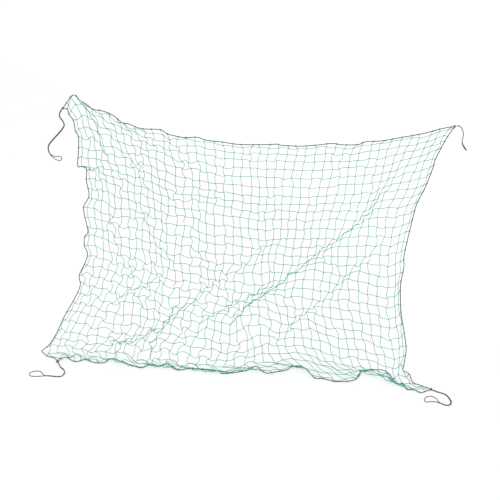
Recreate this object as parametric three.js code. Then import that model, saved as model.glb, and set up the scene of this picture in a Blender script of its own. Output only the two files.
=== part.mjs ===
// Elastic cargo net hung by its two top corners, with its hem lying in waves on the floor.
// Millimetres, +Z up, +X along the top edge to the right, the front of the net faces -Y.
// The origin is on top of the edge cord, in the middle of the top edge.
import * as THREE from "three";

// Sizes of the net
const MESHES_ACROSS = 44;
const MESHES_DOWN = 30;
const TWINE = 2.7;
const CORD = 4;
const CORD_SIDES = 8;
const KNOT_RADIUS = 7;
const GAP = 0.3;
const FLOOR_Z = -1160;

// The solid has about half as many gaps each way, and its surface is worked out four times a gap
const GAPS_ACROSS = 21;
const GAPS_DOWN = 14;
const CUT = 4;
const SAMPLES_ACROSS = CUT * GAPS_ACROSS;
const SAMPLES_DOWN = CUT * GAPS_DOWN;
const STRAND_STEP = 0.5;
const STRAND_LEAST = 6;

// How the sheet hangs between its edges, in shares of its width and height
const HANGING = 0.93;
const HANGING_LEFT = 0.945;
const HANGING_RIGHT = 0.84;
const NEAR_SIDE = 0.12;
const LEFT_EASE = 1.12;
const LEFT_DRAW = 2;
const RIGHT_DRAW = 1.2;
const HEM_DRAW = 3;
const EDGE_REACH = 0.06;
const TOP_REACH = 0.12;
const FOOT_BACK = 0.025;
const FOOT_LEAN = 0.025;
const FOOT_SWING = 12;
const SAG = 30;
const HEM_RISE = 10;
const HEM_END = 0.07;

// The first columns are bunched against the left edge, below its step
const BUNCH = 66;
const BUNCH_WIDTH = 0.04;
const BUNCH_REACH = 0.18;
const BUNCH_FROM = 0.17;
const BUNCH_START = 0.1;
const BUNCH_END = 0.45;

// Passes that even out the edges further into the sheet
const TOP_SOFTENING = 80;
const LEFT_SOFTENING = 60;
const RIGHT_SOFTENING = 12;
const HEIGHT_SOFTENING = 4;

// Corner knots: x, y, z
const KNOT_TOP_LEFT = [-1021, 0, 131];
const KNOT_TOP_RIGHT = [913, 0, 133];
const KNOT_HEM_LEFT = [-1040, -180, FLOOR_Z + 7.2];
const KNOT_HEM_RIGHT = [864, -138, FLOOR_Z + 7.2];

// Points where the two side edges come down to the floor: x, y, z
const LEFT_FOOT = [-1171, -58, FLOOR_Z + 6];
const RIGHT_FOOT = [704, 52, FLOOR_Z + 14];

// Top edge from knot to knot: x, y, z
const TOP_EDGE = [
  KNOT_TOP_LEFT,
  [-964, 0, 200],
  [-933, 0, 179],
  [-895, 0, 152],
  [-856, 0, 132],
  [-813, 0, 127],
  [-758, 0, 106],
  [-714, 0, 71],
  [-685, 0, 69],
  [-619, 0, 48],
  [-520, 0, 47],
  [-486, 0, 28],
  [-407, 0, 14],
  [-333, 0, 18],
  [-291, 0, 6],
  [-203, 0, 0],
  [-123, 0, -7],
  [0, 0, -2],
  [62, 0, 4],
  [88, 0, -1],
  [179, 0, 0],
  [257, 0, 9],
  [331, 0, 21],
  [380, 0, 17],
  [457, 0, 22],
  [492, 0, 37],
  [576, 0, 47],
  [667, 0, 68],
  [768, 0, 92],
  [856, 0, 120],
  KNOT_TOP_RIGHT,
];

// Left edge, hanging: x, y, z
const LEFT_HANGING = [
  KNOT_TOP_LEFT,
  [-1005, 0, 131],
  [-992, 0, 122],
  [-992, 0, 107],
  [-984, 0, 95],
  [-968, 0, 73],
  [-962, 0, 44],
  [-959, 0, 18],
  [-944, 0, -11],
  [-947, -2, -94],
  [-952, -4, -159],
  [-927, -4, -161],
  [-908, -4, -172],
  [-907, -5, -195],
  [-909, -6, -234],
  [-897, -9, -309],
  [-926, -11, -366],
  [-923, -13, -413],
  [-907, -16, -497],
  [-926, -17, -527],
  [-927, -19, -575],
  [-912, -20, -613],
  [-924, -22, -659],
  [-959, -25, -733],
  [-955, -27, -784],
  [-985, -30, -854],
  [-1045, -35, -959],
  [-1073, -38, -1019],
  [-1102, -40, -1076],
  [-1131, -42, -1120],
  LEFT_FOOT,
];

// Left edge, on the floor: x, y, z
const LEFT_LYING = [
  LEFT_FOOT,
  [-1120, -111, FLOOR_Z + 4],
  [-1073, -132, FLOOR_Z + 4],
  KNOT_HEM_LEFT,
];

// Right edge, hanging: x, y, z
const RIGHT_HANGING = [
  KNOT_TOP_RIGHT,
  [876, 0, 72],
  [830, 0, -27],
  [821, 1, -64],
  [788, 3, -166],
  [750, 4, -253],
  [734, 6, -315],
  [697, 9, -512],
  [696, 10, -583],
  [683, 12, -672],
  [684, 13, -749],
  [690, 14, -826],
  [716, 19, -974],
  [719, 28, -1040],
  RIGHT_FOOT,
];

// Right edge, on the floor: x, y, z
const RIGHT_LYING = [
  RIGHT_FOOT,
  [740, 22, FLOOR_Z + 10],
  [768, -72, FLOOR_Z + 8],
  [807, -96, FLOOR_Z + 6],
  KNOT_HEM_RIGHT,
];

// Hem between its knots: x, y, height over the floor
const HEM = [
  [-1020, -122, 10],
  [-954, -154, 4],
  [-911, -118, 4],
  [-854, -146, 4],
  [-803, -135, 4],
  [-778, -90, 10],
  [-680, -129, 4],
  [-601, -161, 4],
  [-562, -104, 4],
  [-519, -121, 4],
  [-482, -87, 4],
  [-415, -151, 4],
  [-343, -117, 4],
  [-213, -119, 4],
  [-175, -149, 4],
  [-75, -90, 4],
  [-31, -36, 9],
  [29, -97, 4],
  [74, -76, 4],
  [127, -36, 4],
  [145, -11, 11],
  [186, 12, 11],
  [228, -14, 4],
  [281, -106, 4],
  [326, -109, 4],
  [389, -131, 4],
  [466, -108, 4],
  [492, -56, 4],
  [505, 5, 12],
  [561, 4, 24],
  [608, 14, 24],
  [639, 4, 12],
  [676, -63, 4],
  [698, -98, 4],
  [720, -90, 4],
  [749, -157, 4],
  [776, -145, 4],
  [815, -182, 4],
  [841, -158, 4],
];

// Line on the floor where the hanging net first touches it: x, y
const FOOT = [
  [-1068, -61],
  [-988, -58],
  [-893, -65],
  [-797, -59],
  [-685, -111],
  [-605, -149],
  [-561, -99],
  [-493, -77],
  [-408, -120],
  [-307, -106],
  [-201, -116],
  [-106, -76],
  [-38, -8],
  [61, -7],
  [128, 48],
  [186, 74],
  [286, 34],
  [393, 3],
  [471, -7],
  [525, -35],
  [576, -37],
  [629, -64],
  [673, -55],
];
const FOOT_HEIGHT = 10;

// Folds in the hanging net: line as x, z, pull on the net above and below it, reach of the pull,
// how far it stands forward, shares of the line over which it starts and ends, strength at its start
const FOLDS = [
  {
    line: [
      [710, -55], [605, -150], [505, -310], [380, -430], [275, -535],
      [160, -640], [50, -760], [-60, -860], [-160, -950],
    ],
    above: 16,
    below: 80,
    reach: 300,
    depth: 34,
    ends: [0.2, 0.12],
    first: 1,
  },
  {
    line: [
      [95, -700], [-5, -750], [-140, -830], [-245, -905], [-320, -940],
    ],
    above: 8,
    below: 14,
    reach: 150,
    depth: 18,
    ends: [0.2, 0.2],
    first: 1,
  },
  {
    line: [
      [135, -410], [-5, -510], [-135, -650], [-250, -725], [-385, -800],
      [-515, -945], [-635, -1035], [-795, -1110],
    ],
    above: 14,
    below: 40,
    reach: 300,
    depth: 24,
    ends: [0.2, 0.1],
    first: 0.3,
  },
  {
    line: [
      [695, -340], [630, -395], [555, -490], [465, -590], [390, -665],
      [320, -765], [240, -835], [145, -915], [55, -1035],
    ],
    above: 24,
    below: 14,
    reach: 160,
    depth: 20,
    ends: [0.15, 0.15],
    first: 1,
  },
  {
    line: [
      [-935, 170], [-895, 135], [-855, 95], [-840, 30], [-830, -25],
      [-800, -80], [-780, -130],
    ],
    above: 12,
    below: 12,
    reach: 120,
    depth: 20,
    ends: [0.1, 0.2],
    first: 1,
  },
  {
    line: [
      [-755, -300], [-770, -365], [-790, -410], [-840, -460], [-905, -545],
    ],
    above: 14,
    below: 14,
    reach: 120,
    depth: 14,
    ends: [0.2, 0.2],
    first: 1,
  },
  {
    line: [
      [-480, -655], [-585, -740], [-665, -785], [-765, -870],
    ],
    above: 6,
    below: 18,
    reach: 200,
    depth: 12,
    ends: [0.2, 0.2],
    first: 1,
  },
  {
    line: [
      [705, -295], [640, -450], [585, -600], [560, -690], [515, -745],
      [460, -855],
    ],
    above: 8,
    below: 4,
    reach: 120,
    depth: 10,
    ends: [0.2, 0.2],
    first: 1,
  },
];
const FOLD_STEPS = 60;
const FOLD_WIDTH = 8;
const FOLD_SQUEEZE = 1.05;
const FOLD_PAST = 60;
const FOLD_EDGE = 0.12;

// Tails, each a doubled cord with an open eye at its end.
// Rows run down the middle of the pair: x, y, z, half the distance between the two strands
const PAIR = 2.15;
const LYING_Z = FLOOR_Z + 2.6;
const TAILS = [
  {
    name: "tail_top_left",
    flat: [0, 1, 0],
    steps: 44,
    middle: [
      [-1025.1, -1.1, 124.8, PAIR],
      [-1034, -3.3, 112, PAIR],
      [-1035, -9, 91, PAIR],
      [-1018, -12, 68, PAIR],
      [-1012, -12, 50, PAIR],
      [-1022, -12, 30, PAIR],
      [-1046, -12, 2, PAIR],
      [-1072, -12, -26, PAIR],
      [-1096, -12, -55, PAIR],
      [-1101, -12, -82, PAIR],
      [-1089, -12, -107, PAIR],
      [-1068, -12, -120, 7],
      [-1054, -12, -122.5, 10.5],
      [-1043, -12, -123, 11],
      [-1035.2, -12, -123, 7.8],
    ],
    end: [-1032, -12, -123],
  },
  {
    name: "tail_top_right",
    flat: [1, 0, 0],
    steps: 26,
    middle: [
      [920.6, 0, 134.6, PAIR],
      [930, 0, 137, PAIR],
      [941, 0, 131, PAIR],
      [950, 0, 117, PAIR],
      [954.5, 0, 98, PAIR],
      [953, 0, 78, PAIR],
      [950, 0, 62, 4],
      [953.5, 0, 48, 8.5],
      [959.5, 0, 37.5, 10],
      [966.2, 0, 28.1, 10],
      [970.3, 0, 22.4, 7],
    ],
    end: [972, 0, 20],
  },
  {
    name: "tail_hem_left",
    flat: [0, 0, 1],
    steps: 46,
    middle: [
      [-1036.1, -186.3, FLOOR_Z + 6, PAIR],
      [-1020, -212, LYING_Z, PAIR],
      [-1001, -244, LYING_Z, PAIR],
      [-978, -268, LYING_Z, PAIR],
      [-962, -295, LYING_Z, PAIR],
      [-957, -326, LYING_Z, PAIR],
      [-964, -350, LYING_Z, PAIR],
      [-988, -357, LYING_Z, PAIR],
      [-1026, -356, LYING_Z, PAIR],
      [-1046, -359, LYING_Z, PAIR],
      [-1070, -355, LYING_Z, 20],
      [-1094, -346, LYING_Z, 35],
      [-1113, -340, LYING_Z, 31],
      [-1125, -338, LYING_Z, 17],
    ],
    end: [-1130, -337, LYING_Z],
  },
  {
    name: "tail_hem_right",
    flat: [0, 0, 1],
    steps: 46,
    middle: [
      [870.8, -141, FLOOR_Z + 6, PAIR],
      [898, -154, LYING_Z, PAIR],
      [934, -174, LYING_Z, PAIR],
      [957, -214, LYING_Z, PAIR],
      [971, -262, LYING_Z, PAIR],
      [966, -296, LYING_Z, PAIR],
      [946, -302, LYING_Z, PAIR],
      [918, -280, LYING_Z, PAIR],
      [900, -264, LYING_Z, 11],
      [886, -255, LYING_Z, 24],
      [873, -250, LYING_Z, 35],
      [861, -247, LYING_Z, 37],
      [850.5, -245, LYING_Z, 29],
      [845.5, -244, LYING_Z, 15],
    ],
    end: [844, -243.7, LYING_Z],
  },
];

// Ridged corner knot
const KNOT_TURNS = 3;
const KNOT_GROOVE = 1.1;
const KNOT_PROFILE_STEPS = 12;
const KNOT_SIDES = 10;

const twineMaterial = () =>
  new THREE.MeshStandardMaterial({ color: 0x1f9a72, roughness: 0.6, metalness: 0 });
const cordMaterial = () =>
  new THREE.MeshStandardMaterial({ color: 0x1a1d1c, roughness: 0.75, metalness: 0 });

const vector = (row) => new THREE.Vector3(row[0], row[1], row[2]);
const share01 = (x) => Math.min(1, Math.max(0, x));
const near = (x) => Math.exp(-(x ** 2));
const direction = (from, to) => to.clone().sub(from).normalize();

function eased(x) {
  const share = share01(x);
  return share * share * (3 - 2 * share);
}

function curveThrough(rows) {
  const curve = new THREE.CatmullRomCurve3(rows.map(vector), false, "catmullrom", 0.5);
  curve.arcLengthDivisions = 24 * (rows.length - 1);
  return curve;
}

// Evens out a row of points between its fixed ends
function softened(points, passes) {
  let now = points;
  for (let pass = 0; pass < passes; pass += 1) {
    const last = now;
    now = last.map((p, k) => {
      if (k === 0 || k === last.length - 1) return p;
      return p.clone().multiplyScalar(2).add(last[k - 1]).add(last[k + 1]).multiplyScalar(0.25);
    });
  }
  return now;
}

// Point at a share of the way along an evenly spaced row of points
function along(points, share) {
  const at = share01(share) * (points.length - 1);
  const k = Math.min(points.length - 2, Math.floor(at));
  return points[k].clone().lerp(points[k + 1], at - k);
}

// Weighted sum of points, given as pairs of weight and point
function blend(...pairs) {
  const sum = new THREE.Vector3();
  for (const [weight, point] of pairs) sum.addScaledVector(point, weight);
  return sum;
}

// Sheet between two long edges, drawn in to its side edges with the weights of each side
function sheet(w, upper, lower, sides) {
  const point = blend([1 - w, upper], [w, lower]);
  for (const { weight, edge, upperEnd, lowerEnd } of sides) {
    point.add(blend([weight, edge], [-weight * (1 - w), upperEnd], [-weight * w, lowerEnd]));
  }
  return point;
}

const hemRows = [
  KNOT_HEM_LEFT,
  ...HEM.map(([x, y, height]) => [x, y, FLOOR_Z + height]),
  KNOT_HEM_RIGHT,
];
const footRows = [
  LEFT_FOOT,
  ...FOOT.map(([x, y]) => [x, y, FLOOR_Z + FOOT_HEIGHT]),
  RIGHT_FOOT,
];
const topLine = curveThrough(TOP_EDGE);
const hemLine = curveThrough(hemRows);
const footLine = curveThrough(footRows);
const leftHanging = curveThrough(LEFT_HANGING);
const leftLying = curveThrough(LEFT_LYING);
const rightHanging = curveThrough(RIGHT_HANGING);
const rightLying = curveThrough(RIGHT_LYING);

// Share of the net that hangs before the floor is met, for a share across it
function hangingShare(u) {
  const fromLeft = share01(u / NEAR_SIDE);
  const fromRight = share01((1 - u) / NEAR_SIDE);
  if (fromLeft < 1) return HANGING * fromLeft + HANGING_LEFT * (1 - fromLeft);
  return HANGING * fromRight + HANGING_RIGHT * (1 - fromRight);
}

// Points down a side edge with its waves evened out, but not its heights
function softenedSide(line, passes) {
  const points = line.getSpacedPoints(2 * MESHES_DOWN);
  const heights = softened(points, HEIGHT_SOFTENING);
  return softened(points, passes).map((p, k) => new THREE.Vector3(p.x, p.y, heights[k].z));
}

const topSoft = softened(topLine.getSpacedPoints(2 * MESHES_ACROSS), TOP_SOFTENING);
const leftSoft = softenedSide(leftHanging, LEFT_SOFTENING);
const rightSoft = softenedSide(rightHanging, RIGHT_SOFTENING);
const ends = (line) => [line.getPoint(0), line.getPoint(1)];
const [topLeft, topRight] = ends(topLine);
const [footLeft, footRight] = ends(footLine);
const [hemLeft, hemRight] = ends(hemLine);

// Point of the hanging part at a share w of the way down it
function hangingPoint(u, v, w) {
  const swing = Math.sin(Math.PI * share01(2 * u - 1));
  const footBehind = footLine.getPointAt(share01(u - FOOT_BACK * swing));
  const foot = footLine.getPointAt(share01(u + FOOT_LEAN * swing));
  const upper = along(topSoft, u);
  const leftW = w ** LEFT_EASE;
  const left = along(leftSoft, leftW);
  const right = along(rightSoft, w);
  const point = sheet(w, upper, footBehind, [
    { weight: (1 - u) ** LEFT_DRAW, edge: left, upperEnd: topLeft, lowerEnd: footLeft },
    { weight: u ** RIGHT_DRAW, edge: right, upperEnd: topRight, lowerEnd: footRight },
  ]);
  point.addScaledVector(leftHanging.getPointAt(leftW).sub(left), near(u / EDGE_REACH));
  point.addScaledVector(rightHanging.getPointAt(w).sub(right), near((1 - u) / EDGE_REACH));
  point.addScaledVector(topLine.getPointAt(u).sub(upper), near(v / TOP_REACH));
  point.addScaledVector(foot.sub(footBehind), w ** FOOT_SWING);
  const bunched = eased((w - BUNCH_FROM) / BUNCH_START) * eased((1 - w) / BUNCH_END);
  point.x -= BUNCH * bunched * (1 - near(u / BUNCH_WIDTH)) * share01(1 - u / BUNCH_REACH);
  point.z -= SAG * Math.sin(Math.PI * u) * Math.sin(Math.PI * w);
  return point;
}

// Point of the part on the floor at a share w of the way to the hem
function lyingPoint(u, w) {
  const swing = Math.sin(Math.PI * share01(2 * u - 1));
  const foot = footLine.getPointAt(share01(u + FOOT_LEAN * swing));
  const left = leftLying.getPointAt(w);
  const right = rightLying.getPointAt(w);
  const point = sheet(w, foot, hemLine.getPointAt(u), [
    { weight: (1 - u) ** HEM_DRAW, edge: left, upperEnd: footLeft, lowerEnd: hemLeft },
    { weight: u ** HEM_DRAW, edge: right, upperEnd: footRight, lowerEnd: hemRight },
  ]);
  point.z += HEM_RISE * Math.sin(Math.PI * w) * share01(Math.min(u, 1 - u) / HEM_END);
  return point;
}

// Surface of the net from the edge lines alone
function hungSurface() {
  const grid = [];
  for (let i = 0; i <= SAMPLES_ACROSS; i += 1) {
    const u = i / SAMPLES_ACROSS;
    const hanging = hangingShare(u);
    const column = [];
    for (let j = 0; j <= SAMPLES_DOWN; j += 1) {
      const v = j / SAMPLES_DOWN;
      if (v <= hanging) column.push(hangingPoint(u, v, v / hanging));
      else column.push(lyingPoint(u, (v - hanging) / (1 - hanging)));
    }
    grid.push(column);
  }
  return grid;
}

// Gathers the sheet towards a fold and stands the fold out from it
function addFold(grid, fold) {
  const points = curveThrough(fold.line.map(([x, z]) => [x, 0, z])).getSpacedPoints(FOLD_STEPS);
  const gather = (p, u, v) => {
    const flat = new THREE.Vector3(p.x, 0, p.z);
    const distances = points.map((q) => q.distanceTo(flat));
    const k = distances.indexOf(Math.min(...distances));
    const run = direction(points[Math.max(0, k - 1)], points[Math.min(FOLD_STEPS, k + 1)]);
    const normal = new THREE.Vector3(-run.z, 0, run.x);
    const away = flat.sub(points[k]);
    const off = away.dot(normal);
    const share = k / FOLD_STEPS;
    const edge = Math.min(u, 1 - u, v, HANGING - v) / FOLD_EDGE;
    const fade = share01(edge) * share01(1 - Math.abs(away.dot(run)) / FOLD_PAST);
    const ends = share01(share / fold.ends[0]) * share01((1 - share) / fold.ends[1]);
    const strength = fade * ends * (fold.first + (1 - fold.first) * share);
    const pull = off * normal.z < 0 ? fold.below : fold.above;
    const r = off / (FOLD_SQUEEZE * pull + FOLD_WIDTH);
    const shift = (-pull * strength * share01(1 - Math.abs(off) / fold.reach) * r) / Math.hypot(1, r);
    p.addScaledVector(normal, shift);
    p.y -= fold.depth * near(r) * strength;
  };
  grid.forEach((column, i) =>
    column.forEach((p, j) => gather(p, i / SAMPLES_ACROSS, j / SAMPLES_DOWN)),
  );
}

const surface = hungSurface();
for (const fold of FOLDS) addFold(surface, fold);
for (const point of surface.flat()) point.z = Math.max(point.z, FLOOR_Z + TWINE);

// Round cord along a curve
function cordTube(curve, steps) {
  const section = new THREE.Shape();
  for (let k = 0; k < CORD_SIDES; k += 1) {
    const angle = (2 * Math.PI * k) / CORD_SIDES;
    const x = (CORD / 2) * Math.cos(angle);
    const y = (CORD / 2) * Math.sin(angle);
    if (k === 0) section.moveTo(x, y);
    else section.lineTo(x, y);
  }
  section.closePath();
  return new THREE.ExtrudeGeometry(section, { steps, extrudePath: curve });
}

// Curve of an edge cord along its lines, stopped a gap short of the knots at its ends
function edgeCurve(lines) {
  const points = lines.flatMap((line, k) => line.getSpacedPoints(200).slice(k === 0 ? 0 : 1));
  const clear = KNOT_RADIUS + GAP;
  const first = points[0];
  const last = points[points.length - 1];
  const kept = points.filter((p) => p.distanceTo(first) > clear + 1 && p.distanceTo(last) > clear + 1);
  kept.unshift(first.clone().addScaledVector(direction(first, kept[0]), clear));
  kept.push(last.clone().addScaledVector(direction(last, kept[kept.length - 1]), clear));
  const curve = new THREE.CatmullRomCurve3(kept, false, "catmullrom", 0.5);
  curve.arcLengthDivisions = 4 * kept.length;
  return curve;
}

// The four edge cords, with the points along the middle of each
const EDGE_CORDS = {};
for (const [name, lines, steps] of [
  ["top", [topLine], 70],
  ["left", [leftHanging, leftLying], 58],
  ["right", [rightHanging, rightLying], 44],
  ["hem", [hemLine], 96],
]) {
  const curve = edgeCurve(lines);
  EDGE_CORDS[name] = { tube: cordTube(curve, steps), middle: curve.getSpacedPoints(steps) };
}

// Square twine sections joined into one closed body
const netPoints = [];
const netFaces = [];
const half = TWINE / 2;

function addPoint(p) {
  netPoints.push(p.x, p.y, p.z);
  return netPoints.length / 3 - 1;
}

function addQuad(a, b, c, d) {
  netFaces.push(a, b, c, a, c, d);
}

// Four corners round a point, counter-clockwise about the cross product of the two axes
function ring(point, first, second) {
  const corners = [
    [-half, -half],
    [half, -half],
    [half, half],
    [-half, half],
  ];
  return corners.map(([s, t]) => addPoint(blend([1, point], [s, first], [t, second])));
}

// Section of a strand that runs along run, squared to one axis of a crossing
function section(point, run, axis) {
  const first = axis.clone().addScaledVector(run, -axis.dot(run)).normalize();
  return ring(point, first, run.clone().cross(first));
}

// Four side faces between two rings
function addSides(near, far) {
  for (let k = 0; k < 4; k += 1) {
    const next = (k + 1) % 4;
    addQuad(near[k], near[next], far[next], far[k]);
  }
}

// Crossing of two strands: a small block with a ring on each of its four sides
function crossing(i, j) {
  const point = surface[i][j];
  const runAcross = direction(surface[i - 2][j], surface[i + 2][j]);
  const runDown = direction(surface[i][j - 2], surface[i][j + 2]);
  const sum = runAcross.clone().add(runDown).normalize();
  const difference = runAcross.clone().sub(runDown).normalize();
  const a = sum.clone().add(difference).normalize();
  const b = sum.clone().sub(difference).normalize();
  const n = a.clone().cross(b);
  const c = {};
  for (const sa of [-1, 1])
    for (const sb of [-1, 1])
      for (const sn of [-1, 1])
        c[[sa, sb, sn]] = addPoint(blend([1, point], [sa * half, a], [sb * half, b], [sn * half, n]));
  addQuad(c[[-1, -1, 1]], c[[1, -1, 1]], c[[1, 1, 1]], c[[-1, 1, 1]]);
  addQuad(c[[-1, 1, -1]], c[[1, 1, -1]], c[[1, -1, -1]], c[[-1, -1, -1]]);
  return {
    across: { axis: b, side: (s) => [c[[s, -1, -1]], c[[s, 1, -1]], c[[s, 1, 1]], c[[s, -1, 1]]] },
    down: { axis: n, side: (s) => [c[[-1, s, -1]], c[[-1, s, 1]], c[[1, s, 1]], c[[1, s, -1]]] },
  };
}

// Shortest distance from a point to a cord, given by the points along its middle
function distanceToCord(point, cord) {
  const near = new THREE.Vector3();
  let least = Infinity;
  for (let k = 1; k < cord.length; k += 1) {
    new THREE.Line3(cord[k - 1], cord[k]).closestPointToPoint(point, true, near);
    least = Math.min(least, near.distanceTo(point));
  }
  return least;
}

// Points of a strand from its last crossing out to the edge cord, where it stops a gap short
function outToCord(path, cord) {
  const clear = CORD / 2 + GAP + half * Math.SQRT2;
  const kept = [];
  for (let k = 1; k < path.length; k += 1) {
    const run = direction(path[k - 1], path[k]);
    const length = path[k - 1].distanceTo(path[k]);
    for (let step = STRAND_STEP; step < length; step += STRAND_STEP) {
      const point = path[k - 1].clone().addScaledVector(run, step);
      if (distanceToCord(point, cord) < clear) {
        if (step < STRAND_LEAST) kept.pop();
        kept.push(point.addScaledVector(run, -STRAND_STEP));
        return kept;
      }
    }
    kept.push(path[k]);
  }
  return kept;
}

// One strand through its crossings, from the cord at its start to the cord at its end
function addStrand(knots, points, startCord, endCord) {
  const count = points.length - 1;
  const inward = outToCord([points[CUT], points[CUT / 2], points[0]], startCord).reverse();
  const startRings = inward.map((p, k) => {
    const next = inward[k + 1] ?? points[CUT];
    return section(p, direction(p, next), knots[0].axis);
  });
  addQuad(...[...startRings[0]].reverse());
  startRings.slice(1).forEach((far, k) => addSides(startRings[k], far));
  addSides(startRings[startRings.length - 1], knots[0].side(-1));
  for (let k = 1; k < knots.length; k += 1) {
    const at = k * CUT + CUT / 2;
    const middle = section(points[at], direction(points[at - 1], points[at + 1]), knots[k].axis);
    addSides(knots[k - 1].side(1), middle);
    addSides(middle, knots[k].side(-1));
  }
  const final = knots[knots.length - 1];
  const path = [points[count - CUT], points[count - CUT / 2], points[count]];
  let near = final.side(1);
  outToCord(path, endCord).forEach((p, k, outward) => {
    const far = section(p, direction(outward[k - 1] ?? path[0], p), final.axis);
    addSides(near, far);
    near = far;
  });
  addQuad(...near);
}

const columnsCut = [];
for (let i = CUT; i < SAMPLES_ACROSS; i += CUT) columnsCut.push(i);
const rowsCut = [];
for (let j = CUT; j < SAMPLES_DOWN; j += CUT) rowsCut.push(j);
const crossings = columnsCut.map((i) => rowsCut.map((j) => crossing(i, j)));

rowsCut.forEach((j, row) => {
  const knots = crossings.map((column) => column[row].across);
  const points = surface.map((column) => column[j]);
  addStrand(knots, points, EDGE_CORDS.left.middle, EDGE_CORDS.right.middle);
});
columnsCut.forEach((i, column) => {
  const knots = crossings[column].map((knot) => knot.down);
  addStrand(knots, surface[i], EDGE_CORDS.top.middle, EDGE_CORDS.hem.middle);
});

const netGeometry = new THREE.BufferGeometry();
netGeometry.setAttribute("position", new THREE.Float32BufferAttribute(netPoints, 3));
netGeometry.setIndex(netFaces);
netGeometry.computeVertexNormals();

// Doubled tail: down one strand, round the eye and back along the other
function tailRoute({ flat, middle, end }) {
  const normal = vector(flat);
  const points = middle.map(vector);
  points.push(vector(end));
  const strand = (sign) =>
    middle.map(([, , , apart], k) => {
      const run = direction(points[Math.max(0, k - 1)], points[k + 1]);
      const side = normal.clone().cross(run).normalize();
      return points[k].clone().addScaledVector(side, sign * apart);
    });
  return [...strand(1), vector(end), ...strand(-1).reverse()];
}

function tailTube(tail) {
  const curve = new THREE.CatmullRomCurve3(tailRoute(tail), false, "catmullrom", 0.5);
  curve.arcLengthDivisions = 40 * tail.middle.length;
  return cordTube(curve, tail.steps);
}

// Corner knot: a ball of tight turns, its axis along the tail
function cornerKnot(centre, tail) {
  const profile = [];
  for (let k = 0; k <= KNOT_PROFILE_STEPS; k += 1) {
    const angle = Math.PI * (k / KNOT_PROFILE_STEPS - 0.5);
    const wave = 0.5 + 0.5 * Math.cos(2 * KNOT_TURNS * (angle + Math.PI / 2));
    const radius = KNOT_RADIUS - KNOT_GROOVE * (1 - wave);
    profile.push(new THREE.Vector2(Math.abs(radius * Math.cos(angle)), radius * Math.sin(angle)));
  }
  profile[0].x = 0;
  profile[KNOT_PROFILE_STEPS].x = 0;
  const geometry = new THREE.LatheGeometry(profile, KNOT_SIDES);
  const axis = direction(vector(centre), vector(tail.middle[0]));
  const turn = new THREE.Quaternion().setFromUnitVectors(new THREE.Vector3(0, 1, 0), axis);
  geometry.applyQuaternion(turn);
  geometry.translate(...centre);
  return geometry;
}

const net = new THREE.Group();
net.name = "elastic_cargo_net";

function addNode(name, geometry, material) {
  const mesh = new THREE.Mesh(geometry, material);
  mesh.name = name;
  net.add(mesh);
}

addNode("net", netGeometry, twineMaterial());
for (const [name, cord] of Object.entries(EDGE_CORDS)) {
  addNode("edge_cord_" + name, cord.tube, cordMaterial());
}

const KNOTS = [
  ["corner_knot_top_left", KNOT_TOP_LEFT],
  ["corner_knot_top_right", KNOT_TOP_RIGHT],
  ["corner_knot_hem_left", KNOT_HEM_LEFT],
  ["corner_knot_hem_right", KNOT_HEM_RIGHT],
];
KNOTS.forEach(([name, centre], k) => addNode(name, cornerKnot(centre, TAILS[k]), cordMaterial()));
for (const tail of TAILS) addNode(tail.name, tailTube(tail), cordMaterial());

export default net;
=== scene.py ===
# Elastic cargo net hung by its two top corners, with its hem lying in waves on the floor.
# Metres, +Z up, +X along the top edge to the right, the front of the net faces -Y.
import math

import bpy
import numpy as np
from mathutils import Matrix, Vector


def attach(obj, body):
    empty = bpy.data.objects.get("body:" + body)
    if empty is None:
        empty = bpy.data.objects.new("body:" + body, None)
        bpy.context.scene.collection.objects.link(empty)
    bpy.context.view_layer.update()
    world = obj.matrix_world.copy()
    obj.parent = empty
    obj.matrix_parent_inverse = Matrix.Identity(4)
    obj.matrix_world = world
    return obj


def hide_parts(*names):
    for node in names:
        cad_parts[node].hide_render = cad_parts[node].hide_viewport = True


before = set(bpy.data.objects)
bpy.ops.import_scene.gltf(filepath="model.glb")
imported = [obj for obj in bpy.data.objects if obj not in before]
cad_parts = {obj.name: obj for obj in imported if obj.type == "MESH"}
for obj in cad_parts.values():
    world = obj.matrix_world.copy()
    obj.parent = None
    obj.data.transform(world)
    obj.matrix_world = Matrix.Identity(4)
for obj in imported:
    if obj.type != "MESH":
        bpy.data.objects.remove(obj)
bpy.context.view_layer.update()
SEED = 7
random = np.random.default_rng(SEED)

# Sizes of the net
MESHES_ACROSS = 44
MESHES_DOWN = 30
TWINE = 0.0027
CORD = 0.004
FLOOR_Z = -1.160

# Camera
AZIMUTH = math.radians(12)
ELEVATION = math.radians(18)
DISTANCE = 7.0
IMAGE_SIZE = 500
METRES_PER_PIXEL = 0.00485
ORIGIN_PIXEL = (264.2, 144.3)
SENSOR = 36
CLIP_END = 100


def add_camera():
    back = Vector((
        math.sin(AZIMUTH) * math.cos(ELEVATION),
        -math.cos(AZIMUTH) * math.cos(ELEVATION),
        math.sin(ELEVATION),
    ))
    right = Vector((math.cos(AZIMUTH), math.sin(AZIMUTH), 0))
    up = back.cross(right)
    from_right = (ORIGIN_PIXEL[0] - IMAGE_SIZE / 2) * METRES_PER_PIXEL
    from_up = (IMAGE_SIZE / 2 - ORIGIN_PIXEL[1]) * METRES_PER_PIXEL
    place = DISTANCE * back - from_right * right - from_up * up
    camera = bpy.data.objects.new("camera", bpy.data.cameras.new("camera"))
    camera.matrix_world = Matrix.Translation(place) @ Matrix((right, up, back)).transposed().to_4x4()
    camera.data.sensor_width = SENSOR
    camera.data.sensor_fit = "HORIZONTAL"
    camera.data.lens = SENSOR * DISTANCE / (IMAGE_SIZE * METRES_PER_PIXEL)
    camera.data.clip_end = CLIP_END
    bpy.context.scene.collection.objects.link(camera)
    bpy.context.scene.camera = camera


add_camera()

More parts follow.
